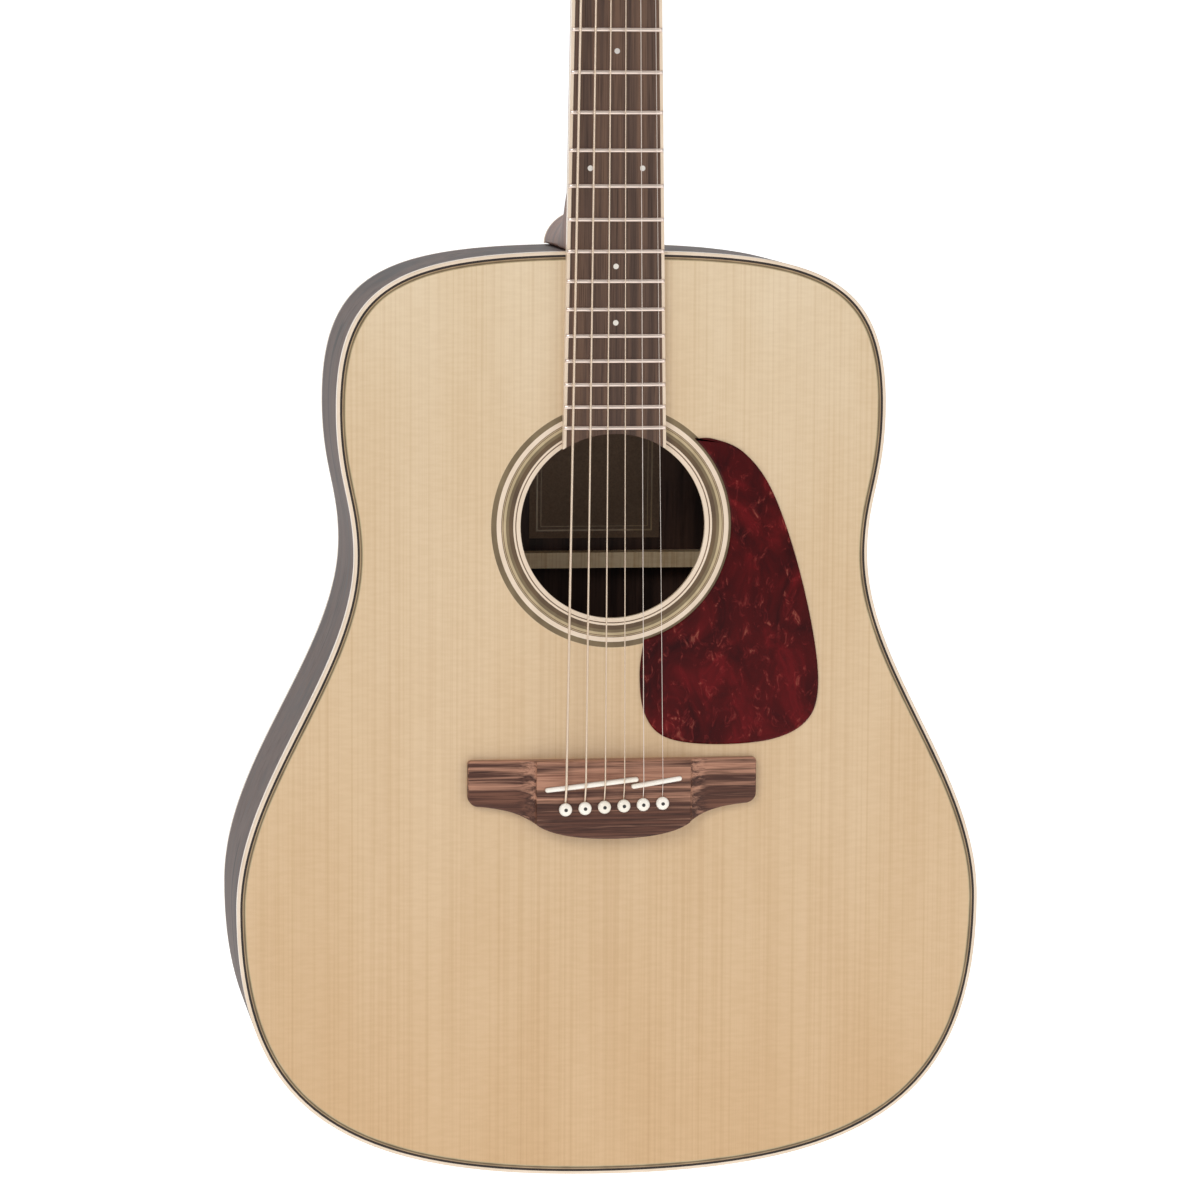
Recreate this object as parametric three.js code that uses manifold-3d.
// Steel-string acoustic guitar with a dreadnought body, in millimetres.
// It stands upright: +Z runs up the neck, -Y is the way the soundboard faces, +X is the treble side.
// The origin is on the centre line where the nut meets the neck, in the plane of the soundboard's face.
// Distances "down" are measured from the nut along the neck, so a piece at down = d has z = -d.
import * as THREE from "three";
import { mergeVertices } from "three/addons/utils/BufferGeometryUtils.js";
import Module from "manifold-3d";

const wasm = await Module();
wasm.setup();

// ---------------------------------------------------------------- driving dimensions

const GAP = 0.3; // clearance between neighbouring pieces
const FAR = 400; // reach of a cutting block past the piece that it cuts

// Scale and fingerboard
const SCALE_LENGTH = 644;
const FRET_COUNT = 21;
const BODY_FRET = 14; // the fret over the edge of the body
const NUT_WIDTH = 42;
const BOARD_END_WIDTH = 56.5;
const BOARD_PAST_LAST_FRET = 11.8;
const BOARD_TOP = 6.5; // height of the fingerboard's crown above the soundboard
const BOARD_RADIUS = 400;
const FRET_HEIGHT = 1.1;
const FRET_WIDTH = 2.2;
const FRET_INSET = 0.6; // how far a fret is let into the board
const FRET_SHORT = 0.2; // how far a fret's end stops short of the board's edge
const NUT_LENGTH = 5.5;

// Body outline, half of it: each bout is given by its half width and its distance below the body's top
const BODY_LENGTH = 508.5;
const UPPER_BOUT = { half: 150.5, at: 85 };
const WAIST = { half: 141, at: 165 };
const LOWER_BOUT = { half: 205, at: 358 };
const DEPTH_AT_NECK = 98;
const DEPTH_AT_TAIL = 121.5;
const BACK_RADIUS = 4600; // the arch across the back
const OUTLINE_STEPS = 9; // facets of each of the outline's four curves

// Body pieces
const BOARD_THICKNESS = 2.8;
const SIDE_THICKNESS = 2.4;
const BINDING = { width: 2, depth: 6 };
const LINING = { width: 6, depth: 14 };
const NECK_BLOCK = { width: 75, length: 28 };
const TAIL_BLOCK = { width: 75, length: 20 };
const SOUNDHOLE_RADIUS = 50.6;
const ROSETTE = { outer: 66.7, thickness: 1.5 };
const ROUND_STEPS = 48; // facets of the soundhole and rosette
const BRACE = { width: 8, height: 14 };
const X_BRACE = { angle: 49, place: 0.33 }; // its crossing's place between the soundhole and the bridge
const TRANSVERSE_BRACE_ABOVE_HOLE = 30;
const BACK_BRACES = [0.13, 0.349, 0.594, 0.83]; // places along the body's length
const BACK_BRACE_WIDTH = 8.7;
const PLATE = { thickness: 2.5, above: 6, length: 52, flare: 25 };

// Bridge, saddles and pins
const BRIDGE = { length: 159, block: 84.6, height: 9, tip: 4.2, above: 10 };
const BRIDGE_DEPTH = { wing: 25.3, blockCorner: 35, belly: 43.3 }; // down from the bridge's straight edge
const BRIDGE_CORNER = 6; // round of a wing's low corner
const BRIDGE_TOP_CORNER = 2;
const SCOOP = 12; // length of the hollow between the bridge's block and its wing
const SADDLE = { thickness: 2.5, depth: 6, rise: 3.5 };
const SADDLE_SPREAD = 53.2;
const LONG_SADDLE = { from: -38, to: 13.4, at: -26, back: 4.6, slant: -0.112 };
const SHORT_SADDLE = { from: 9.3, to: 37.6, at: 26, back: 1.9, slant: -0.148 };
const PIN = { radius: 2.5, tip: 1.9, head: 3.55, rise: 3, length: 22 };
const PIN_ROW = { spread: 53.4, bassBack: 16.5, trebleBack: 13.8 };

// Strings, from the low E to the high e
const STRING_DIAMETERS = [1.35, 1.07, 0.81, 0.61, 0.41, 0.3];
const NUT_SPREAD = 33.8;
const STRING_OVER_NUT = 8.2; // underside of a string at the nut, on the crown
const BALL_RADIUS = 1.5;
const STRING_SIDES = 6;

// Neck, headstock and truss rod
const NECK_DEPTH = { nut: 15.2, heel: 18 };
const HEEL = { width: 52, reach: 19.5, sweep: 52, bend: 11, from: 20 };
const HEEL_CAP = 3;
const HEADSTOCK = { tilt: 14, length: 180, thickness: 15, width: 74, above: 1.7 };
const SHOULDER = { width: 62, at: 26 }; // where the headstock has flared out from the nut
const TRUSS_ROD = { radius: 3, depth: 8, from: 8 };
const ROD_NUT = { radius: 4.4, length: 12 };

// Machine heads: the worm wheel is on the string post, the worm is on the knob's shaft
const POSTS = [
  { side: -1, up: 40 },
  { side: -1, up: 81 },
  { side: -1, up: 122 },
  { side: 1, up: 122 },
  { side: 1, up: 81 },
  { side: 1, up: 40 },
];
const POST_EDGE = 13.2; // from the headstock's edge in to a post
const POST = { radius: 3, waist: 2.8, rise: 13.2, wrap: 7.5, turns: 3, foot: 2.2 };
const WHEEL = { teeth: 14, thickness: 2.8, root: 0.9, tip: 0.45 };
const WORM = { pitch: 2.2, radius: 2.5, root: 0.75, crest: 0.6, length: 7.2, steps: 10 };
const KNOB_SHAFT = { radius: 1.9, stubRadius: 1.5, stubLength: 3 };
const GEAR_ROOM = 0.5; // room around the worm inside its case
const THREAD_SHARE = 0.3; // part of the pitch that the thread takes on the pitch line
const TOOTH_SHARE = 0.35; // part of the pitch that a wheel's tooth takes
const HOUSING = { height: 11, wall: 1.9, outer: 10 };
const KNOB = { length: 16, width: 20, thickness: 8, bevel: 1.5, clear: 3 };

// Strap button
const BUTTON = { flange: 6.5, waist: 4, base: 6, length: 11, shank: 3.5, shankLength: 16 };

// ---------------------------------------------------------------- derived sizes

const fretDown = (number) => SCALE_LENGTH * (1 - 2 ** (-number / 12));
const BODY_TOP = fretDown(BODY_FRET);
const BODY_END = BODY_TOP + BODY_LENGTH;
const BOARD_END = fretDown(FRET_COUNT) + BOARD_PAST_LAST_FRET; // its corners lie on the soundhole's edge
const HOLE_DOWN = BOARD_END + Math.sqrt(SOUNDHOLE_RADIUS ** 2 - (BOARD_END_WIDTH / 2) ** 2);
const BRIDGE_TOP = SCALE_LENGTH - BRIDGE.above;
const BRIDGE_FACE = -(BRIDGE.height + GAP);
const TUNER_DEPTH = HEADSTOCK.thickness + GAP + HOUSING.height / 2;
const WHEEL_RADIUS = (WHEEL.teeth * WORM.pitch) / (2 * Math.PI);
const WORM_OFFSET = WHEEL_RADIUS + WORM.radius;

const lerp = THREE.MathUtils.lerp;
const radians = THREE.MathUtils.degToRad;
const crown = (x) => x ** 2 / (2 * BOARD_RADIUS); // how far a cambered surface falls away at x
const boardHalfWidth = (down) => lerp(NUT_WIDTH, BOARD_END_WIDTH, down / BOARD_END) / 2;
const bodyDepth = (down) => lerp(DEPTH_AT_NECK, DEPTH_AT_TAIL, (down - BODY_TOP) / BODY_LENGTH);
const stringAcross = (index, spread) => lerp(-spread / 2, spread / 2, index / (STRING_DIAMETERS.length - 1));

// ---------------------------------------------------------------- shape helpers

// A closed three.js geometry as a solid that can be cut and joined.
function solid(geometry) {
  const bare = geometry.index ? geometry.toNonIndexed() : geometry.clone();
  bare.deleteAttribute("normal");
  bare.deleteAttribute("uv");
  const merged = mergeVertices(bare, 1e-4);
  const vertProperties = merged.attributes.position.array;
  const triVerts = new Uint32Array(merged.index.array);
  return new wasm.Manifold(new wasm.Mesh({ numProp: 3, vertProperties, triVerts }));
}

// A solid's faces as a three.js geometry.
function surface(shape) {
  const { vertProperties, triVerts } = shape.getMesh();
  const geometry = new THREE.BufferGeometry();
  geometry.setAttribute("position", new THREE.BufferAttribute(Float32Array.from(vertProperties), 3));
  geometry.setIndex(new THREE.BufferAttribute(Uint32Array.from(triVerts), 1));
  const faceted = geometry.toNonIndexed();
  faceted.computeVertexNormals();
  return faceted;
}

// A box between two corners.
function box([x0, y0, z0], [x1, y1, z1]) {
  const shape = new THREE.BoxGeometry(x1 - x0, y1 - y0, z1 - z0);
  return solid(shape.translate((x0 + x1) / 2, (y0 + y1) / 2, (z0 + z1) / 2));
}

// A cylinder from a start point along "x", "y" or "z".
function cylinder(radius, length, sides, axis, [x, y, z]) {
  const shape = new THREE.CylinderGeometry(radius, radius, length, sides).translate(0, length / 2, 0);
  if (axis === "x") shape.rotateZ(-Math.PI / 2);
  if (axis === "z") shape.rotateX(Math.PI / 2);
  return solid(shape.translate(x, y, z));
}

// An outline in the plane of the soundboard, thickened from y = front to y = back.
function plate(outline, front, back, curveSegments = 12) {
  const shape = Array.isArray(outline) ? new THREE.Shape(outline) : outline;
  const extrusion = { depth: back - front, bevelEnabled: false, curveSegments };
  const geometry = new THREE.ExtrudeGeometry(shape, extrusion);
  return solid(geometry.rotateX(Math.PI / 2).translate(0, back, 0));
}

// An outline in the plane across the neck, [x, y] points, run from z = low to z = high.
function bar(points, low, high) {
  const shape = new THREE.Shape(points.map(([x, y]) => new THREE.Vector2(x, y)));
  const geometry = new THREE.ExtrudeGeometry(shape, { depth: high - low, bevelEnabled: false });
  return solid(geometry.translate(0, 0, low));
}

// A turned piece: [radius, distance along +Y] points that start and end on the axis.
function turned(profile, sides) {
  return solid(new THREE.LatheGeometry(profile.map(([r, y]) => new THREE.Vector2(r, y)), sides));
}

// A skin over rings of points that all have the same count, closed by a fan at each end.
function loft(rings) {
  const count = rings[0].length;
  const points = rings.flat();
  const centre = (ring) => ring.reduce((sum, p) => sum.add(p), new THREE.Vector3()).divideScalar(count);
  const first = points.push(centre(rings[0])) - 1;
  const last = points.push(centre(rings.at(-1))) - 1;
  const index = [];
  for (let k = 0; k < count; k++) {
    const next = (k + 1) % count;
    for (let r = 0; r + 1 < rings.length; r++) {
      const [a, b, c, d] = [r * count + k, r * count + next, (r + 1) * count + next, (r + 1) * count + k];
      index.push(a, b, c, a, c, d);
    }
    const end = (rings.length - 1) * count;
    index.push(first, next, k, last, end + k, end + next);
  }
  const geometry = new THREE.BufferGeometry().setFromPoints(points).setIndex(index);
  const shape = solid(geometry);
  return shape.volume() > 0 ? shape : solid(geometry.setIndex(index.reverse()));
}

// A round rod through points, mitred where it bends.
function rod(points, radius, sides) {
  const steps = points.slice(1).map((p, i) => p.clone().sub(points[i]).normalize());
  const side = new THREE.Vector3(1, 0, 0);
  const rings = points.map((point, i) => {
    const before = steps[Math.max(i - 1, 0)];
    const after = steps[Math.min(i, steps.length - 1)];
    const mitre = before.clone().add(after).normalize();
    const u = side.clone().addScaledVector(before, -side.dot(before)).normalize();
    const v = before.clone().cross(u);
    return Array.from({ length: sides }, (_, k) => {
      const angle = (2 * Math.PI * k) / sides;
      const offset = u.clone().multiplyScalar(radius * Math.cos(angle));
      offset.addScaledVector(v, radius * Math.sin(angle));
      return point.clone().add(offset).addScaledVector(before, -offset.dot(mitre) / before.dot(mitre));
    });
  });
  return loft(rings);
}

const join = (...shapes) => shapes.reduce((whole, shape) => whole.add(shape));
const cut = (shape, ...tools) => tools.reduce((rest, tool) => rest.subtract(tool), shape);

// ---------------------------------------------------------------- the assembly

const guitar = new THREE.Group();
const headstock = new THREE.Group(); // its x, y, z are across, into and up the tilted headstock
headstock.position.set(0, -HEADSTOCK.above, NUT_LENGTH + 2 * GAP);
headstock.rotation.x = -radians(HEADSTOCK.tilt);
headstock.updateMatrix();
guitar.add(headstock);

function addNode(name, shape, material, parent = guitar) {
  const mesh = new THREE.Mesh(surface(shape), new THREE.MeshStandardMaterial(material));
  mesh.name = name;
  parent.add(mesh);
}

const SPRUCE = { color: 0xe3c9a0, roughness: 0.35, metalness: 0 };
const INNER_SPRUCE = { color: 0xd9bd8c, roughness: 0.7, metalness: 0 };
const MAHOGANY = { color: 0x6b3d22, roughness: 0.4, metalness: 0 };
const DARK_SIDES = { color: 0x2a211e, roughness: 0.25, metalness: 0 };
const ROSEWOOD = { color: 0x4f3324, roughness: 0.5, metalness: 0 };
const CREAM = { color: 0xe8d6b4, roughness: 0.35, metalness: 0 };
const OLIVE = { color: 0x86724f, roughness: 0.4, metalness: 0 };
const BONE = { color: 0xf2ece0, roughness: 0.35, metalness: 0 };
const TORTOISESHELL = { color: 0x4a1214, roughness: 0.15, metalness: 0 };
const STEEL = { color: 0xbfc2c4, roughness: 0.3, metalness: 1 };
const CHROME = { color: 0xd8dadc, roughness: 0.12, metalness: 1 };
const BRONZE = { color: 0xb58a55, roughness: 0.35, metalness: 1 };

// ---------------------------------------------------------------- body outline

// The right half of the outline as four curves, from the top on the centre line to the tail.
const bodyCurves = (() => {
  const at = (x, below) => new THREE.Vector2(x, -(BODY_TOP + below));
  const curve = (...points) => new THREE.CubicBezierCurve(...points);
  const toWaist = WAIST.at - UPPER_BOUT.at;
  const toLower = LOWER_BOUT.at - WAIST.at;
  const toTail = BODY_LENGTH - LOWER_BOUT.at;
  return [
    curve(
      at(0, 0),
      at(0.725 * UPPER_BOUT.half, 0),
      at(UPPER_BOUT.half, 0.12 * UPPER_BOUT.at),
      at(UPPER_BOUT.half, UPPER_BOUT.at),
    ),
    curve(
      at(UPPER_BOUT.half, UPPER_BOUT.at),
      at(UPPER_BOUT.half, UPPER_BOUT.at + 0.49 * toWaist),
      at(WAIST.half, WAIST.at - 0.38 * toWaist),
      at(WAIST.half, WAIST.at),
    ),
    curve(
      at(WAIST.half, WAIST.at),
      at(WAIST.half, WAIST.at + 0.33 * toLower),
      at(LOWER_BOUT.half, LOWER_BOUT.at - 0.36 * toLower),
      at(LOWER_BOUT.half, LOWER_BOUT.at),
    ),
    curve(
      at(LOWER_BOUT.half, LOWER_BOUT.at),
      at(LOWER_BOUT.half, LOWER_BOUT.at + 0.76 * toTail),
      at(0.7 * LOWER_BOUT.half, BODY_LENGTH),
      at(0, BODY_LENGTH),
    ),
  ];
})();

// The whole outline, moved inwards by inset.
function bodyOutline(inset) {
  const right = bodyCurves.flatMap((curve) =>
    Array.from({ length: OUTLINE_STEPS }, (_, i) => {
      const along = curve.getTangent(i / OUTLINE_STEPS);
      const inwards = new THREE.Vector2(along.y, -along.x);
      return curve.getPoint(i / OUTLINE_STEPS).addScaledVector(inwards, inset);
    }),
  );
  const tail = new THREE.Vector2(0, -BODY_END + inset);
  const left = right.slice(1).reverse().map((p) => new THREE.Vector2(-p.x, p.y));
  return [...right, tail, ...left];
}

const bodyPrism = (inset, front, back) => plate(bodyOutline(inset), front, back);

// A band that follows the outline, from one inset to a deeper one.
function bodyBand(outer, inner, front, back) {
  return cut(bodyPrism(outer, front, back), bodyPrism(inner, front - 1, back + 1));
}

// Everything behind the arched back, moved forwards by inset.
function behindBack(inset) {
  const steps = 10;
  const reach = LOWER_BOUT.half + 20; // past the widest bout
  const arch = Array.from({ length: steps + 1 }, (_, i) => {
    const x = lerp(-reach, reach, i / steps);
    return [x, -(x ** 2) / (2 * BACK_RADIUS) - inset];
  });
  const beyond = 20; // how far it runs past the body's ends and sides
  const corners = [...arch, [reach, FAR], [-reach, FAR]].map(([x, y]) => new THREE.Vector2(x, y));
  const extrusion = { depth: BODY_LENGTH + 2 * beyond, bevelEnabled: false };
  const geometry = new THREE.ExtrudeGeometry(new THREE.Shape(corners), extrusion);
  geometry.translate(0, 0, -BODY_END - beyond);
  const slope = (DEPTH_AT_TAIL - DEPTH_AT_NECK) / BODY_LENGTH;
  const lean = new THREE.Matrix4().set(1, 0, 0, 0, 0, 1, -slope, bodyDepth(0), 0, 0, 1, 0, 0, 0, 0, 1);
  return solid(geometry.applyMatrix4(lean));
}

const BACK_BLANK = FAR / 2; // a blank's depth before the back's shape is cut from it
const BACK_START = 50; // where a blank for a piece at the back begins

// ---------------------------------------------------------------- strings' places

// Where each string runs, and where its pin and its post are.
const strings = STRING_DIAMETERS.map((diameter, index) => {
  const radius = diameter / 2;
  const nutX = stringAcross(index, NUT_SPREAD);
  const saddleX = stringAcross(index, SADDLE_SPREAD);
  const pinX = stringAcross(index, PIN_ROW.spread);
  const saddle = index < 4 ? LONG_SADDLE : SHORT_SADDLE;
  const saddleDown = SCALE_LENGTH + saddle.back + saddle.slant * (saddleX - saddle.at);
  const pinDown = SCALE_LENGTH + lerp(PIN_ROW.bassBack, PIN_ROW.trebleBack, index / 5);
  const { side, up } = POSTS[index];
  const postX = side * (headstockHalfWidth(up) - POST_EDGE);
  return { radius, nutX, saddleX, saddleDown, pinX, pinDown, side, up, postX };
});

const saddleTop = (x) => BRIDGE_FACE - SADDLE.rise + crown(x);
const nutContact = (x) => -STRING_OVER_NUT + crown(x);
const pinEntry = ({ radius }) => PIN.head + GAP + radius; // from a pin's axis to its string's axis

// The holes and string slots that the pins and strings need through the bridge, soundboard and plate.
function pinHoles() {
  const front = BRIDGE_FACE - 1;
  const depth = PIN.length + 10;
  const holes = strings.map((string) => {
    const { pinX, pinDown, radius } = string;
    const slot = radius + GAP;
    const hole = cylinder(PIN.radius + 2 * GAP, depth, 8, "y", [pinX, front, -pinDown]);
    const top = -pinDown + pinEntry(string) + slot;
    const channel = box([pinX - slot, front, -pinDown], [pinX + slot, front + depth, top]);
    return join(hole, channel);
  });
  return join(...holes);
}

// ---------------------------------------------------------------- body

function makeBody() {
  const holes = pinHoles();
  const rim = BINDING.width + GAP; // inset of the soundboard and back inside their bindings
  const inside = SIDE_THICKNESS + GAP; // inset of what stands against the inner face of the sides
  const clearOfLining = inside + LINING.width + GAP;
  const under = BOARD_THICKNESS + GAP; // depth of what is glued under the soundboard or back
  const liningEnd = under + LINING.depth;
  const sideEdge = BINDING.depth + GAP;

  const hole = cylinder(SOUNDHOLE_RADIUS, 20, ROUND_STEPS, "y", [0, -10, -HOLE_DOWN]);
  const recessStart = [0, ROSETTE.thickness + GAP - 10, -HOLE_DOWN];
  const recess = cylinder(ROSETTE.outer + GAP, 10, ROUND_STEPS, "y", recessStart);
  const soundboard = cut(bodyPrism(rim, 0, BOARD_THICKNESS), hole, recess, holes);
  addNode("soundboard", soundboard, SPRUCE);

  const rosetteDisc = cylinder(ROSETTE.outer, ROSETTE.thickness, ROUND_STEPS, "y", [0, 0, -HOLE_DOWN]);
  addNode("rosette", cut(rosetteDisc, hole), OLIVE);

  const backBlank = bodyPrism(rim, BACK_START, BACK_BLANK);
  const back = backBlank.subtract(behindBack(0)).intersect(behindBack(BOARD_THICKNESS));
  addNode("back_plate", back, DARK_SIDES);

  const buttonHole = cylinder(BUTTON.shank + GAP, 60, 16, "z", [0, BODY_MIDDLE, -BODY_END - 30]);
  const rodHole = cylinder(TRUSS_ROD.radius + GAP, 100, 12, "z", [0, TRUSS_ROD.depth, -BODY_TOP - 60]);
  const ribs = bodyBand(0, SIDE_THICKNESS, sideEdge, BACK_BLANK);
  const sides = cut(ribs, behindBack(sideEdge), buttonHole, rodHole);
  const trebleHalf = box([GAP / 2, -FAR, -BODY_END - FAR], [FAR, FAR, FAR]);
  addNode("side_bass", sides.intersect(trebleHalf.mirror([1, 0, 0])), DARK_SIDES);
  addNode("side_treble", sides.intersect(trebleHalf), DARK_SIDES);

  addNode("binding_top", cut(bodyBand(0, BINDING.width, 0, BINDING.depth), rodHole), CREAM);
  const edgeBlank = bodyBand(0, BINDING.width, BACK_START, BACK_BLANK);
  const backEdge = edgeBlank.subtract(behindBack(0)).intersect(behindBack(BINDING.depth));
  addNode("binding_back", backEdge, CREAM);

  const neckBlockSpace = (extra) => {
    const reach = NECK_BLOCK.width / 2 + extra;
    return box([-reach, 0, -BODY_TOP - inside - NECK_BLOCK.length - extra], [reach, BACK_BLANK, -BODY_TOP]);
  };
  const liningTop = bodyBand(inside, inside + LINING.width, under, liningEnd);
  const liningBlank = bodyBand(inside, inside + LINING.width, BACK_START, BACK_BLANK);
  const liningBack = liningBlank.subtract(behindBack(under)).intersect(behindBack(liningEnd));
  addNode("lining_top", cut(liningTop, neckBlockSpace(GAP)), INNER_SPRUCE);
  addNode("lining_back", cut(liningBack, neckBlockSpace(GAP)), INNER_SPRUCE);

  const inner = cut(bodyPrism(inside, under, BACK_BLANK), behindBack(under));
  addNode("neck_block", cut(inner.intersect(neckBlockSpace(0)), rodHole), MAHOGANY);

  const tailHalf = TAIL_BLOCK.width / 2;
  const tailTop = -BODY_END + inside + TAIL_BLOCK.length;
  const tailSpace = box([-tailHalf, 0, -BODY_END], [tailHalf, BACK_BLANK, tailTop]);
  const notchTop = bodyBand(0, clearOfLining, -1, liningEnd + GAP);
  const notchBack = bodyBand(0, clearOfLining, BACK_START, BACK_BLANK).intersect(behindBack(liningEnd + GAP));
  addNode("tail_block", cut(inner.intersect(tailSpace), notchTop, notchBack, buttonHole), MAHOGANY);

  addBraces(under, clearOfLining, holes);
}

const BODY_MIDDLE = bodyDepth(BODY_END) / 2; // the strap button's place across the tail

function addBraces(under, clearOfLining, holes) {
  const crossing = lerp(HOLE_DOWN + SOUNDHOLE_RADIUS, BRIDGE_TOP, X_BRACE.place);
  const room = bodyPrism(clearOfLining, under, under + BRACE.height);
  const lean = radians(X_BRACE.angle);

  // One arm of the X; widen and the depths let the other arm's notch be cut with it.
  const arm = (sign, widen, front, back) => {
    const half = BRACE.width / 2 + widen;
    const geometry = new THREE.BoxGeometry(2 * half, back - front, 2 * FAR);
    return solid(geometry.rotateY(sign * lean).translate(0, (front + back) / 2, -crossing));
  };
  const middle = under + BRACE.height / 2;
  const deep = under + BRACE.height;
  const bass = arm(-1, 0, under, deep).intersect(room);
  const treble = arm(1, 0, under, deep).intersect(room);
  addNode("x_brace_bass", cut(bass, arm(1, GAP, middle - GAP / 2, deep + 1)), INNER_SPRUCE);
  addNode("x_brace_treble", cut(treble, arm(-1, GAP, under - 1, middle + GAP / 2)), INNER_SPRUCE);

  const transverse = -(HOLE_DOWN - SOUNDHOLE_RADIUS - TRANSVERSE_BRACE_ABOVE_HOLE);
  const halfWidth = BRACE.width / 2;
  const transverseBar = box([-FAR, under, transverse - halfWidth], [FAR, deep, transverse + halfWidth]);
  addNode("transverse_brace", transverseBar.intersect(room), INNER_SPRUCE);

  // The plate under the bridge: its top corners reach the X's lower arms.
  const plateTop = BRIDGE_TOP + PLATE.above - PLATE.thickness;
  const plateEnd = plateTop + PLATE.length;
  const clearOfArm = (BRACE.width / 2 + 2 * GAP) / Math.cos(lean);
  const topHalf = (plateTop - crossing) * Math.tan(lean) - clearOfArm;
  const endHalf = topHalf + PLATE.flare;
  const corners = [
    [-topHalf, plateTop],
    [topHalf, plateTop],
    [endHalf, plateEnd],
    [-endHalf, plateEnd],
  ];
  const outline = corners.map(([x, down]) => new THREE.Vector2(x, -down));
  addNode("bridge_plate", cut(plate(outline, under, under + PLATE.thickness), holes), MAHOGANY);

  BACK_BRACES.forEach((place, index) => {
    const z = -(BODY_TOP + place * BODY_LENGTH);
    const reach = BACK_BRACE_WIDTH / 2;
    const blank = box([-FAR, BACK_START, z - reach], [FAR, BACK_BLANK, z + reach]);
    const shaped = blank.subtract(behindBack(under)).intersect(behindBack(under + BRACE.height));
    const insideLining = bodyPrism(clearOfLining, BACK_START, BACK_BLANK);
    addNode(`back_brace_${index + 1}`, shaped.intersect(insideLining), INNER_SPRUCE);
  });
}

// ---------------------------------------------------------------- pickguard

// A teardrop guard that follows the rosette and stops short of the bridge.
function makePickguard() {
  const thickness = 1.2;
  const inner = ROSETTE.outer - 1.7; // radius of its edge around the soundhole
  const clearOfBridge = 7;
  const drop = BRIDGE_TOP - clearOfBridge - HOLE_DOWN; // from the soundhole's centre to its low edge
  const start = radians(46.5);
  const end = radians(-74.5);
  const at = (x, fall) => new THREE.Vector2(x, -HOLE_DOWN - fall * drop);
  const onArc = (angle) =>
    new THREE.Vector2(inner * Math.cos(angle), inner * Math.sin(angle) - HOLE_DOWN);
  const edge = new THREE.SplineCurve([
    onArc(start),
    at(55, -0.39),
    at(71.5, -0.33),
    at(87, -0.165),
    at(101, 0.145),
    at(111.5, 0.51),
    at(114, 0.77),
    at(106.5, 0.91),
    at(86.5, 0.985),
    at(53.5, 1),
    at(29, 0.963),
    at(18, 0.857),
    at(15.1, 0.68),
    onArc(end),
  ]);
  const arc = new THREE.EllipseCurve(0, -HOLE_DOWN, inner, inner, end, start, false);
  const outline = [...edge.getPoints(40), ...arc.getPoints(20).slice(1, -1)];
  addNode("pickguard", plate(outline, -thickness - GAP, -GAP), TORTOISESHELL);
}

// ---------------------------------------------------------------- bridge, saddles and pins

// A block that stands across the bridge along a saddle's slanted line.
function saddleBlock(line, widen, top, bottom) {
  const middle = (line.from + line.to) / 2;
  const down = SCALE_LENGTH + line.back + line.slant * (middle - line.at);
  const reach = (line.to - line.from) / 2 + widen;
  const steps = 6;
  const edge = Array.from({ length: steps + 1 }, (_, i) => {
    const x = lerp(-reach, reach, i / steps);
    return [x, top(middle + x)];
  });
  const points = [...edge, [reach, bottom], [-reach, bottom]].map(([x, y]) => new THREE.Vector2(x, y));
  const thickness = SADDLE.thickness + 2 * widen;
  const extrusion = { depth: thickness, bevelEnabled: false };
  const geometry = new THREE.ExtrudeGeometry(new THREE.Shape(points), extrusion);
  geometry.translate(0, 0, -thickness / 2).rotateY(Math.atan(line.slant));
  return solid(geometry.translate(middle, 0, -down));
}

// The low edge of the bridge's right half, from its tip to the middle, as [x, depth] curves:
// straight along the wing, down to the block's corner, and round the belly.
const bridgeLowCurves = (() => {
  const tip = BRIDGE.length / 2 - BRIDGE_CORNER;
  const block = BRIDGE.block / 2;
  const { wing, blockCorner, belly } = BRIDGE_DEPTH;
  const slope = (blockCorner - wing) / (tip - block);
  return [
    [
      [tip, wing],
      [lerp(tip, block, 0.47), wing + 4.5 * slope],
      [lerp(tip, block, 0.73), blockCorner - 18 * slope],
      [block, blockCorner],
    ],
    [
      [block, blockCorner],
      [0.83 * block, blockCorner + 5.5],
      [0.48 * block, belly],
      [0, belly],
    ],
  ];
})();

function bridgeOutline() {
  const half = BRIDGE.length / 2;
  const { wing } = BRIDGE_DEPTH;
  const at = (x, depth) => [x, -(BRIDGE_TOP + depth)];
  const outline = new THREE.Shape();
  outline.moveTo(...at(BRIDGE_TOP_CORNER - half, 0));
  outline.lineTo(...at(half - BRIDGE_TOP_CORNER, 0));
  outline.quadraticCurveTo(...at(half, 0), ...at(half, BRIDGE_TOP_CORNER));
  outline.lineTo(...at(half, wing - BRIDGE_CORNER));
  outline.quadraticCurveTo(...at(half, wing), ...at(half - BRIDGE_CORNER, wing));
  for (const [, ...rest] of bridgeLowCurves) {
    outline.bezierCurveTo(...rest.flatMap(([x, depth]) => at(x, depth)));
  }
  for (const curve of [...bridgeLowCurves].reverse()) {
    const [, ...rest] = [...curve].reverse();
    outline.bezierCurveTo(...rest.flatMap(([x, depth]) => at(-x, depth)));
  }
  outline.quadraticCurveTo(...at(-half, wing), ...at(-half, wing - BRIDGE_CORNER));
  outline.lineTo(...at(-half, BRIDGE_TOP_CORNER));
  outline.quadraticCurveTo(...at(-half, 0), ...at(BRIDGE_TOP_CORNER - half, 0));
  return outline;
}

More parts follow.
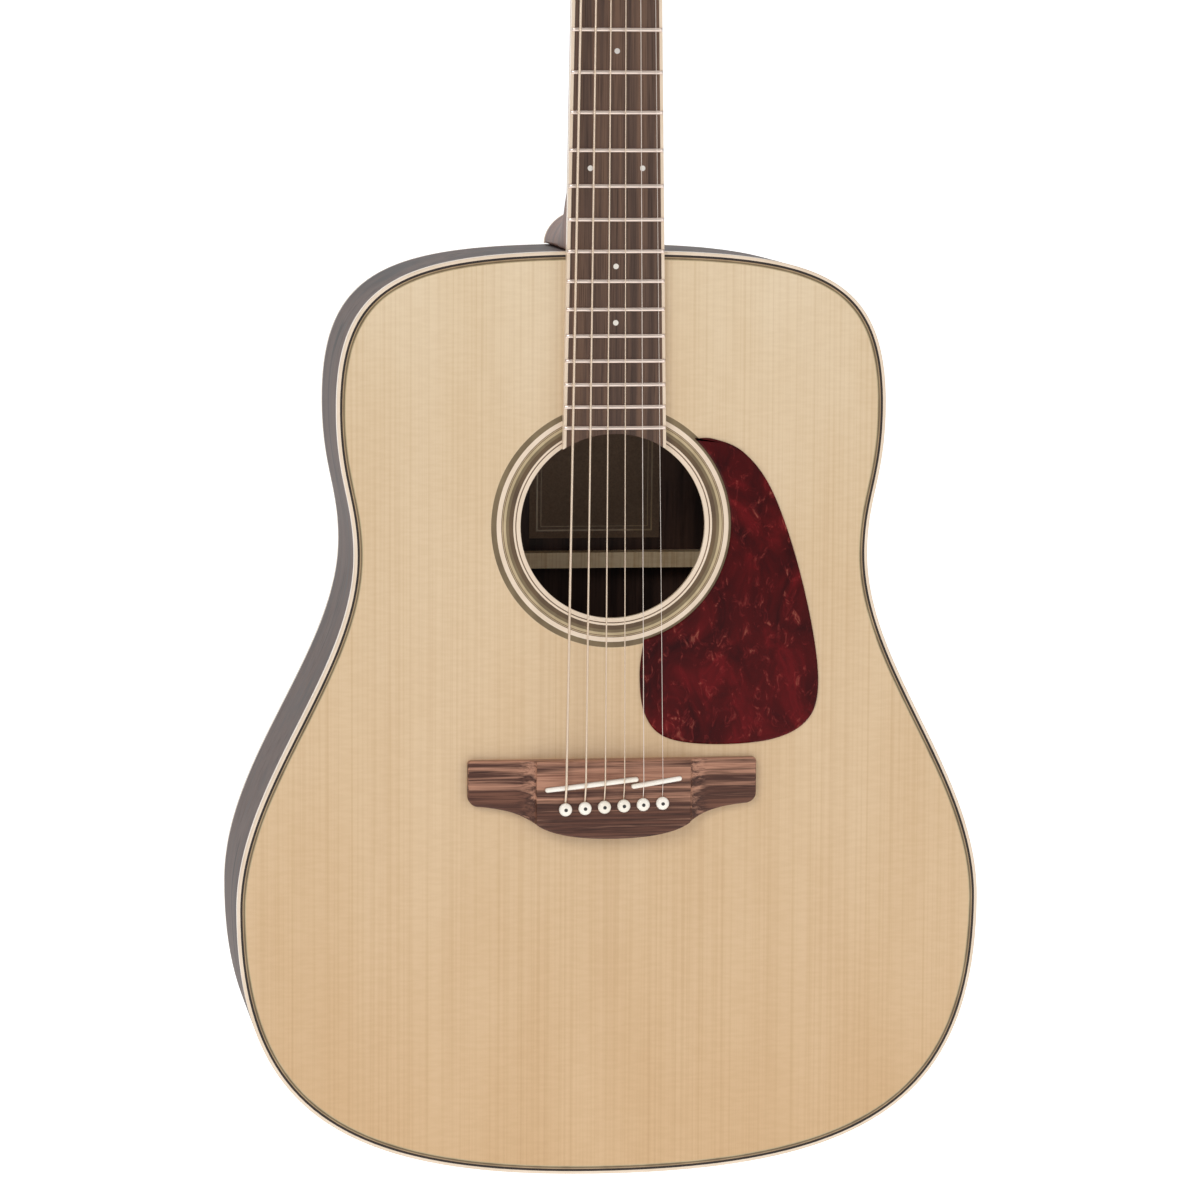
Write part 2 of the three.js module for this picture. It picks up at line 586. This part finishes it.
function makeBridge() {
  const blank = plate(bridgeOutline(), BRIDGE_FACE, -GAP, 8);

  // Each wing is scooped down from the central block's full height.
  const tipFace = -(BRIDGE.tip + GAP);
  const scoopSteps = 6;
  const scoop = Array.from({ length: scoopSteps + 1 }, (_, i) => {
    const angle = (Math.PI / 2) * (i / scoopSteps);
    const x = BRIDGE.block / 2 + SCOOP * (1 - Math.cos(angle));
    return [x, lerp(BRIDGE_FACE, tipFace, Math.sin(angle))];
  });
  const above = BRIDGE_FACE - 5;
  const section = [[BRIDGE.block / 2, above], ...scoop, [FAR, tipFace], [FAR, above]];
  const wing = bar(section, -BRIDGE_TOP - BRIDGE_DEPTH.belly - 5, -BRIDGE_TOP + 5);
  const slotFloor = BRIDGE_FACE + SADDLE.depth + GAP;
  const slots = [LONG_SADDLE, SHORT_SADDLE].map((line) => saddleBlock(line, GAP, () => above, slotFloor));
  addNode("bridge", cut(blank, wing, wing.mirror([1, 0, 0]), ...slots, pinHoles()), ROSEWOOD);

  const foot = BRIDGE_FACE + SADDLE.depth;
  addNode("saddle_long", saddleBlock(LONG_SADDLE, 0, saddleTop, foot), BONE);
  addNode("saddle_short", saddleBlock(SHORT_SADDLE, 0, saddleTop, foot), BONE);

  strings.forEach(({ pinX, pinDown }, index) => {
    const seat = BRIDGE_FACE - GAP;
    const pin = turned(
      [
        [0, seat - PIN.rise],
        [2, seat - PIN.rise + 0.2],
        [PIN.head - 0.4, seat - PIN.rise + 1.1],
        [PIN.head, seat - 1],
        [PIN.head - 0.3, seat],
        [PIN.radius, seat],
        [PIN.tip, seat + PIN.length - 1],
        [0, seat + PIN.length],
      ],
      12,
    );
    addNode(`bridge_pin_${index + 1}`, pin.translate([pinX, 0, -pinDown]), BONE);
  });
}

// ---------------------------------------------------------------- neck, fingerboard and nut

// The headstock flares from the nut to its shoulder and then widens slowly to its top.
function headstockHalfWidth(up) {
  const share = (up - SHOULDER.at) / (HEADSTOCK.length - SHOULDER.at);
  return lerp(SHOULDER.width, HEADSTOCK.width, share) / 2;
}

function headstockPlate() {
  const half = NUT_WIDTH / 2 + 1;
  const shoulder = SHOULDER.width / 2;
  const wide = HEADSTOCK.width / 2;
  const { length } = HEADSTOCK;
  const outline = new THREE.Shape();
  outline.moveTo(half, 0);
  outline.bezierCurveTo(half, 0.4 * SHOULDER.at, shoulder - 3, 0.5 * SHOULDER.at, shoulder, SHOULDER.at);
  outline.lineTo(wide - 0.6, length - 18);
  outline.bezierCurveTo(wide, length - 10, wide - 5, length - 7, wide - 12, length - 5);
  outline.quadraticCurveTo(wide / 3, length, 0, length);
  outline.quadraticCurveTo(-wide / 3, length, 12 - wide, length - 5);
  outline.bezierCurveTo(5 - wide, length - 7, -wide, length - 10, 0.6 - wide, length - 18);
  outline.lineTo(-shoulder, SHOULDER.at);
  outline.bezierCurveTo(3 - shoulder, 0.5 * SHOULDER.at, -half, 0.4 * SHOULDER.at, -half, 0);
  const holes = strings.map(({ postX, up }) =>
    cylinder(POST.radius + GAP, 60, 12, "y", [postX, -20, up]),
  );
  const blank = cut(plate(outline, 0, HEADSTOCK.thickness, 6), ...holes);
  return solid(surface(blank).applyMatrix4(headstock.matrix));
}

// The heel's plan at one depth: a tongue that reaches up the neck from the body.
function heelSection(depth) {
  const bottom = DEPTH_AT_NECK;
  const half = lerp(boardHalfWidth(BODY_TOP) - 0.4, HEEL.width / 2, (depth / bottom) ** 0.9);
  const reach = HEEL.reach + HEEL.sweep * Math.exp(-Math.max(depth - HEEL.from, 0) / HEEL.bend);
  const steps = 14;
  return Array.from({ length: steps + 1 }, (_, i) => {
    const angle = (Math.PI * i) / steps;
    return new THREE.Vector3(half * Math.cos(angle), depth, -BODY_TOP + GAP + reach * Math.sin(angle));
  });
}

function makeNeck() {
  const steps = 12;
  const section = (down, half, top, bottom) =>
    Array.from({ length: steps + 1 }, (_, i) => {
      const angle = (Math.PI * i) / steps;
      return new THREE.Vector3(half * Math.cos(angle), lerp(top, bottom, Math.sin(angle)), -down);
    });
  const stations = [0, 40, 120, 200, 280, BODY_TOP - GAP];
  const depthAt = (down) => lerp(NECK_DEPTH.nut, NECK_DEPTH.heel, down / BODY_TOP);
  const shaft = loft([
    section(-30, NUT_WIDTH / 2, 8, NECK_DEPTH.nut + 2.8),
    section(-14, NUT_WIDTH / 2 + 1, 3, NECK_DEPTH.nut + 0.6),
    section(-NUT_LENGTH - GAP, NUT_WIDTH / 2, 0, NECK_DEPTH.nut),
    ...stations.map((down) => section(down, boardHalfWidth(down), 0, depthAt(down))),
  ]);
  const heelFoot = DEPTH_AT_NECK - HEEL_CAP - GAP;
  const heelShares = [0.01, 0.085, 0.15, 0.21, 0.285, 0.38, 0.51, 0.68, 0.85, 1];
  const heel = loft(heelShares.map((share) => heelSection(share * heelFoot)));
  const rodLength = BODY_TOP + 10 - TRUSS_ROD.from;
  const rodHoleStart = [0, TRUSS_ROD.depth, -TRUSS_ROD.from + GAP - rodLength];
  const rodHole = cylinder(TRUSS_ROD.radius + GAP, rodLength, 12, "z", rodHoleStart);
  addNode("neck", cut(join(shaft, heel, headstockPlate()), rodHole), MAHOGANY);

  addNode("heel_cap", loft([DEPTH_AT_NECK - HEEL_CAP, DEPTH_AT_NECK].map(heelSection)), CREAM);

  const rodEnd = BODY_TOP + SIDE_THICKNESS + GAP + NECK_BLOCK.length + 4;
  const rodStart = [0, TRUSS_ROD.depth, -rodEnd];
  addNode("truss_rod", cylinder(TRUSS_ROD.radius, rodEnd - TRUSS_ROD.from, 12, "z", rodStart), STEEL);
  const nutStart = [0, TRUSS_ROD.depth, -rodEnd - GAP - ROD_NUT.length];
  addNode("truss_rod_nut", cylinder(ROD_NUT.radius, ROD_NUT.length, 6, "z", nutStart), STEEL);
}

// The fingerboard's cambered section; lift raises the crown for a fret.
function boardSection(half, lift, floor) {
  const steps = 4;
  const top = Array.from({ length: steps + 1 }, (_, i) => {
    const x = lerp(half, -half, i / steps);
    return [x, -BOARD_TOP + crown(x) - lift];
  });
  return [...top, ...floor(half)];
}

function makeFingerboard() {
  const flat = (half) => [
    [-half, -GAP],
    [half, -GAP],
  ];
  const ring = (down) =>
    boardSection(boardHalfWidth(down), 0, flat).map(([x, y]) => new THREE.Vector3(x, y, -down));
  const board = loft([ring(GAP), ring(HOLE_DOWN)]);
  const clearOfHole = cylinder(SOUNDHOLE_RADIUS, 40, ROUND_STEPS, "y", [0, -20, -HOLE_DOWN]);
  const frets = Array.from({ length: FRET_COUNT }, (_, i) => {
    const down = fretDown(i + 1);
    const half = boardHalfWidth(down);
    const tang = (width) => [
      [-width, -BOARD_TOP + crown(width) + FRET_INSET],
      [0, -BOARD_TOP + FRET_INSET],
      [width, -BOARD_TOP + crown(width) + FRET_INSET],
    ];
    const section = boardSection(half - FRET_SHORT, FRET_HEIGHT, tang);
    return bar(section, -down - FRET_WIDTH / 2, -down + FRET_WIDTH / 2);
  });
  addNode("fingerboard", join(cut(board, clearOfHole), ...frets), ROSEWOOD);
}

function makeNut() {
  const half = NUT_WIDTH / 2;
  const rise = 0.8; // how far the nut stands above the strings' undersides
  const edgeTop = nutContact(half) - rise;
  const section = [[half, -GAP], [half, edgeTop], [0, nutContact(0) - rise], [-half, edgeTop], [-half, -GAP]];
  const blank = bar(section, GAP / 2, NUT_LENGTH);
  const grooves = strings.map((string) => {
    const slot = string.radius + GAP;
    const groove = rod([saddlePoint(string), nutPoint(string), postPoint(string)], 1.2 * slot, 4);
    return join(groove, groove.translate([0, -slot, 0]), groove.translate([0, -2 * slot, 0]));
  });
  addNode("nut", cut(blank, ...grooves), BONE);
}

// ---------------------------------------------------------------- strings

const nutPoint = ({ nutX, radius }) => new THREE.Vector3(nutX, nutContact(nutX) - radius, 0.5);

// A string bends down at the edge of its saddle that faces the pins.
function saddlePoint({ saddleX, saddleDown, radius }) {
  const edge = -saddleDown - SADDLE.thickness / 2 - GAP;
  return new THREE.Vector3(saddleX, saddleTop(saddleX) - GAP - radius, edge);
}

// A string leaves its post on the side that faces the middle of the headstock.
function postPoint(string) {
  const { side, up, postX, radius } = string;
  const local = nutPoint(string).applyMatrix4(headstock.matrix.clone().invert());
  const centre = new THREE.Vector2(postX, up);
  const nut = new THREE.Vector2(local.x, local.z);
  const wrapRadius = POST.waist + radius;
  const toNut = nut.clone().sub(centre);
  const swing = side * Math.acos(wrapRadius / toNut.length());
  const touch = toNut.clone().normalize().multiplyScalar(wrapRadius);
  touch.rotateAround(new THREE.Vector2(), -swing).add(centre);
  const free = Math.sqrt((POST.waist + 2 * radius + GAP) ** 2 - POST.waist ** 2) + GAP;
  const end = touch.clone().lerp(nut, free / touch.distanceTo(nut));
  return new THREE.Vector3(end.x, -POST.wrap, end.y).applyMatrix4(headstock.matrix);
}

function makeStrings() {
  strings.forEach((string, index) => {
    const { radius, pinX, pinDown } = string;
    const entryZ = -pinDown + pinEntry(string);
    const entry = new THREE.Vector3(pinX, BRIDGE_FACE - 0.5, entryZ);
    const ballDepth = BOARD_THICKNESS + GAP + PLATE.thickness + GAP + BALL_RADIUS;
    const end = new THREE.Vector3(pinX, ballDepth, entryZ);
    const path = [postPoint(string), nutPoint(string), saddlePoint(string), entry, end];
    const line = rod(path, radius, STRING_SIDES);
    const ball = solid(new THREE.SphereGeometry(BALL_RADIUS, 6, 4).translate(pinX, ballDepth, entryZ));
    addNode(`string_${index + 1}`, join(line, ball), index < 4 ? BRONZE : STEEL);
  });
}

// ---------------------------------------------------------------- machine heads

// The worm: a single thread around the x axis whose crest faces +Z at x = 0.
function wormThread() {
  const { pitch, steps } = WORM;
  const root = WORM.radius - WORM.root;
  const crest = WORM.radius + WORM.crest;
  const flank = 0.1;
  const half = THREAD_SHARE / 2;
  // One pitch of the thread: [place along the pitch, radius]
  const profile = [
    [-half - flank / 2, root],
    [-half + flank / 2, crest],
    [half - flank / 2, crest],
    [half + flank / 2, root],
  ];
  const turns = 2 * Math.ceil(WORM.length / pitch / 2) + 2; // an even count puts a crest at x = 0
  const points = [];
  for (let turn = 0; turn <= turns; turn++) {
    for (const [place, radius] of profile) {
      for (let step = 0; step < steps; step++) {
        const x = pitch * (turn - turns / 2 + place + step / steps);
        const angle = (2 * Math.PI * step) / steps;
        points.push(new THREE.Vector3(x, -radius * Math.sin(angle), radius * Math.cos(angle)));
      }
    }
  }
  const rows = profile.length * turns;
  const at = (row, step) => (step < steps ? row * steps + step : (row + profile.length) * steps);
  const index = [];
  for (let row = 0; row < rows - 1; row++) {
    for (let step = 0; step < steps; step++) {
      const [a, b, c, d] = [at(row, step), at(row, step + 1), at(row + 1, step + 1), at(row + 1, step)];
      index.push(a, b, c, a, c, d);
    }
  }
  const cap = (row, outwards) => {
    const rim = Array.from({ length: steps + 1 }, (_, step) => at(row, step));
    for (let back = profile.length - 1; back > 0; back--) rim.push(at(row + back, 0));
    const x = rim.reduce((sum, i) => sum + points[i].x, 0) / rim.length;
    const centre = points.push(new THREE.Vector3(x, 0, 0)) - 1;
    rim.forEach((from, i) => {
      const to = rim[(i + 1) % rim.length];
      index.push(...(outwards ? [centre, from, to] : [centre, to, from]));
    });
  };
  cap(0, false);
  cap(rows - 1, true);
  const thread = solid(new THREE.BufferGeometry().setFromPoints(points).setIndex(index));
  const trim = cylinder(crest + 1, WORM.length, 16, "x", [-WORM.length / 2, 0, 0]);
  return thread.intersect(trim);
}

// The wheel's outline, with a gap between two teeth facing -Z.
function wheelOutline() {
  const { teeth, root, tip } = WHEEL;
  const pitchAngle = (2 * Math.PI) / teeth;
  const points = [];
  for (let tooth = 0; tooth < teeth; tooth++) {
    const middle = -Math.PI / 2 + (tooth + 0.5) * pitchAngle;
    const half = (TOOTH_SHARE * pitchAngle) / 2;
    const corners = [
      [-1.25, -root],
      [-0.7, tip],
      [0.7, tip],
      [1.25, -root],
    ];
    corners.forEach(([share, rise]) => {
      const angle = middle + share * half;
      const radius = WHEEL_RADIUS + rise;
      points.push(new THREE.Vector2(radius * Math.cos(angle), radius * Math.sin(angle)));
    });
  }
  return points;
}

// Each tuner is built around its post's axis: x across, y into and z up the headstock.
function makeTuner(string, index) {
  const { side, up, postX, radius } = string;
  const place = new THREE.Group();
  place.position.set(postX, 0, up);
  headstock.add(place);
  const axisZ = -WORM_OFFSET;
  const back = TUNER_DEPTH;
  const half = WHEEL.thickness / 2;
  const wheelRoom = WHEEL_RADIUS + WHEEL.tip + 0.75;
  const wormRoom = WORM.radius + WORM.crest + GEAR_ROOM;
  const wormHalf = WORM.length / 2;

  // String post with its worm wheel and the string's turns
  const wrapTop = POST.wrap + radius;
  const wrapEnd = wrapTop - POST.turns * 2 * radius;
  const wrapRadius = POST.waist + 2 * radius;
  const footEnd = back + half + 2.4;
  const post = turned(
    [
      [0, -POST.rise],
      [POST.radius - 0.6, -POST.rise],
      [POST.radius, -POST.rise + 0.6],
      [POST.radius, -wrapTop - 1.2],
      [POST.waist, -wrapTop - 0.8],
      [POST.waist, -wrapTop],
      [wrapRadius, -wrapTop + radius],
      [wrapRadius, -wrapEnd - radius],
      [POST.waist, -wrapEnd],
      [POST.radius, -wrapEnd + 0.5],
      [POST.radius, back],
      [POST.foot, back],
      [POST.foot, footEnd],
      [0, footEnd],
    ],
    12,
  );
  const wheel = plate(wheelOutline(), back - half, back + half);
  addNode(`tuner_post_${index + 1}`, join(post, wheel), CHROME, place);

  // Knob with its shaft and worm
  const buttonStart = POST_EDGE + KNOB.clear;
  const buttonEnd = buttonStart + KNOB.length;
  const knobHalf = KNOB.width / 2 - KNOB.bevel;
  const inner = buttonStart + KNOB.bevel;
  const outer = buttonEnd - KNOB.bevel;
  const button = new THREE.Shape();
  button.moveTo(inner, -4);
  button.lineTo(inner, 4);
  button.bezierCurveTo(inner + 3, 6, lerp(inner, outer, 0.3), knobHalf, lerp(inner, outer, 0.55), knobHalf);
  button.bezierCurveTo(outer, knobHalf, outer, 5, outer, 0);
  button.bezierCurveTo(outer, -5, outer, -knobHalf, lerp(inner, outer, 0.55), -knobHalf);
  button.bezierCurveTo(lerp(inner, outer, 0.3), -knobHalf, inner + 3, -6, inner, -4);
  const buttonGeometry = new THREE.ExtrudeGeometry(button, {
    depth: KNOB.thickness - 2 * KNOB.bevel,
    bevelThickness: KNOB.bevel,
    bevelSize: KNOB.bevel,
    bevelSegments: 1,
    curveSegments: 4,
  });
  buttonGeometry.translate(0, 0, KNOB.bevel - KNOB.thickness / 2).rotateX(Math.PI / 2);
  if (side < 0) buttonGeometry.rotateY(Math.PI);
  const reach = (from, length) => (side > 0 ? from : -from - length);
  const shaftLength = inner + 2 - wormHalf + 0.5;
  const { stubLength } = KNOB_SHAFT;
  const stubStart = reach(-wormHalf - stubLength + 0.2, stubLength);
  const knob = join(
    wormThread(),
    cylinder(KNOB_SHAFT.radius, shaftLength, 10, "x", [reach(wormHalf - 0.5, shaftLength), 0, 0]),
    cylinder(KNOB_SHAFT.stubRadius, stubLength, 8, "x", [stubStart, 0, 0]),
    solid(buttonGeometry),
  );
  addNode(`tuner_knob_${index + 1}`, knob.translate([0, back, axisZ]), CHROME, place);

  // Gear case, hollowed for the wheel and the worm, with a hole for the post and one for the shaft
  const front = HEADSTOCK.thickness + GAP;
  const caseInner = -wheelRoom - HOUSING.wall;
  const caseLength = HOUSING.outer - caseInner;
  const caseStart = reach(caseInner, caseLength);
  const low = axisZ - wormRoom - HOUSING.wall;
  const high = wheelRoom + HOUSING.wall;
  const blank = box([caseStart, front, low], [caseStart + caseLength, front + HOUSING.height, high]);
  const roomHalf = wormHalf + 0.6;
  const stubRoom = stubLength + 0.6;
  const stubRoomStart = reach(-roomHalf - stubRoom + 0.6, stubRoom);
  const gearCase = cut(
    blank,
    cylinder(wheelRoom, WHEEL.thickness + 0.8, 14, "y", [0, back - half - 0.4, 0]),
    cylinder(wormRoom, 2 * roomHalf, 10, "x", [-roomHalf, back, axisZ]),
    cylinder(KNOB_SHAFT.radius + GAP, 20, 10, "x", [reach(roomHalf - 1, 20), back, axisZ]),
    cylinder(KNOB_SHAFT.stubRadius + GAP, stubRoom, 8, "x", [stubRoomStart, back, axisZ]),
    cylinder(POST.radius + GAP, back - front + 2, 12, "y", [0, front - 1, 0]),
    cylinder(POST.foot + GAP, footEnd - back + GAP, 10, "y", [0, back, 0]),
  );
  const ear = cylinder(3.2, 2, 10, "y", [0, front, high + 2.2]);
  const neck = box([-3.2, front, high - 0.5], [3.2, front + 2, high + 2.2]);
  const screwHole = cylinder(1.1, 4, 6, "y", [0, front - 1, high + 2.4]);
  addNode(`tuner_housing_${index + 1}`, cut(join(gearCase, ear, neck), screwHole), CHROME, place);
}

// ---------------------------------------------------------------- strap button

function makeStrapButton() {
  const profile = [
    [0, 0],
    [BUTTON.flange - 1, 0],
    [BUTTON.flange, 1],
    [BUTTON.flange, 2.5],
    [BUTTON.waist, 5],
    [BUTTON.waist, 7],
    [BUTTON.base, BUTTON.length],
    [BUTTON.shank, BUTTON.length],
    [BUTTON.shank, BUTTON.length + BUTTON.shankLength],
    [0, BUTTON.length + BUTTON.shankLength],
  ];
  const shape = solid(surface(turned(profile, 16)).rotateX(Math.PI / 2));
  addNode("strap_button", shape.translate([0, BODY_MIDDLE, -BODY_END - GAP - BUTTON.length]), BONE);
}

makeBody();
makePickguard();
makeBridge();
makeNeck();
makeFingerboard();
makeNut();
makeStrings();
strings.forEach(makeTuner);
makeStrapButton();

export default guitar;
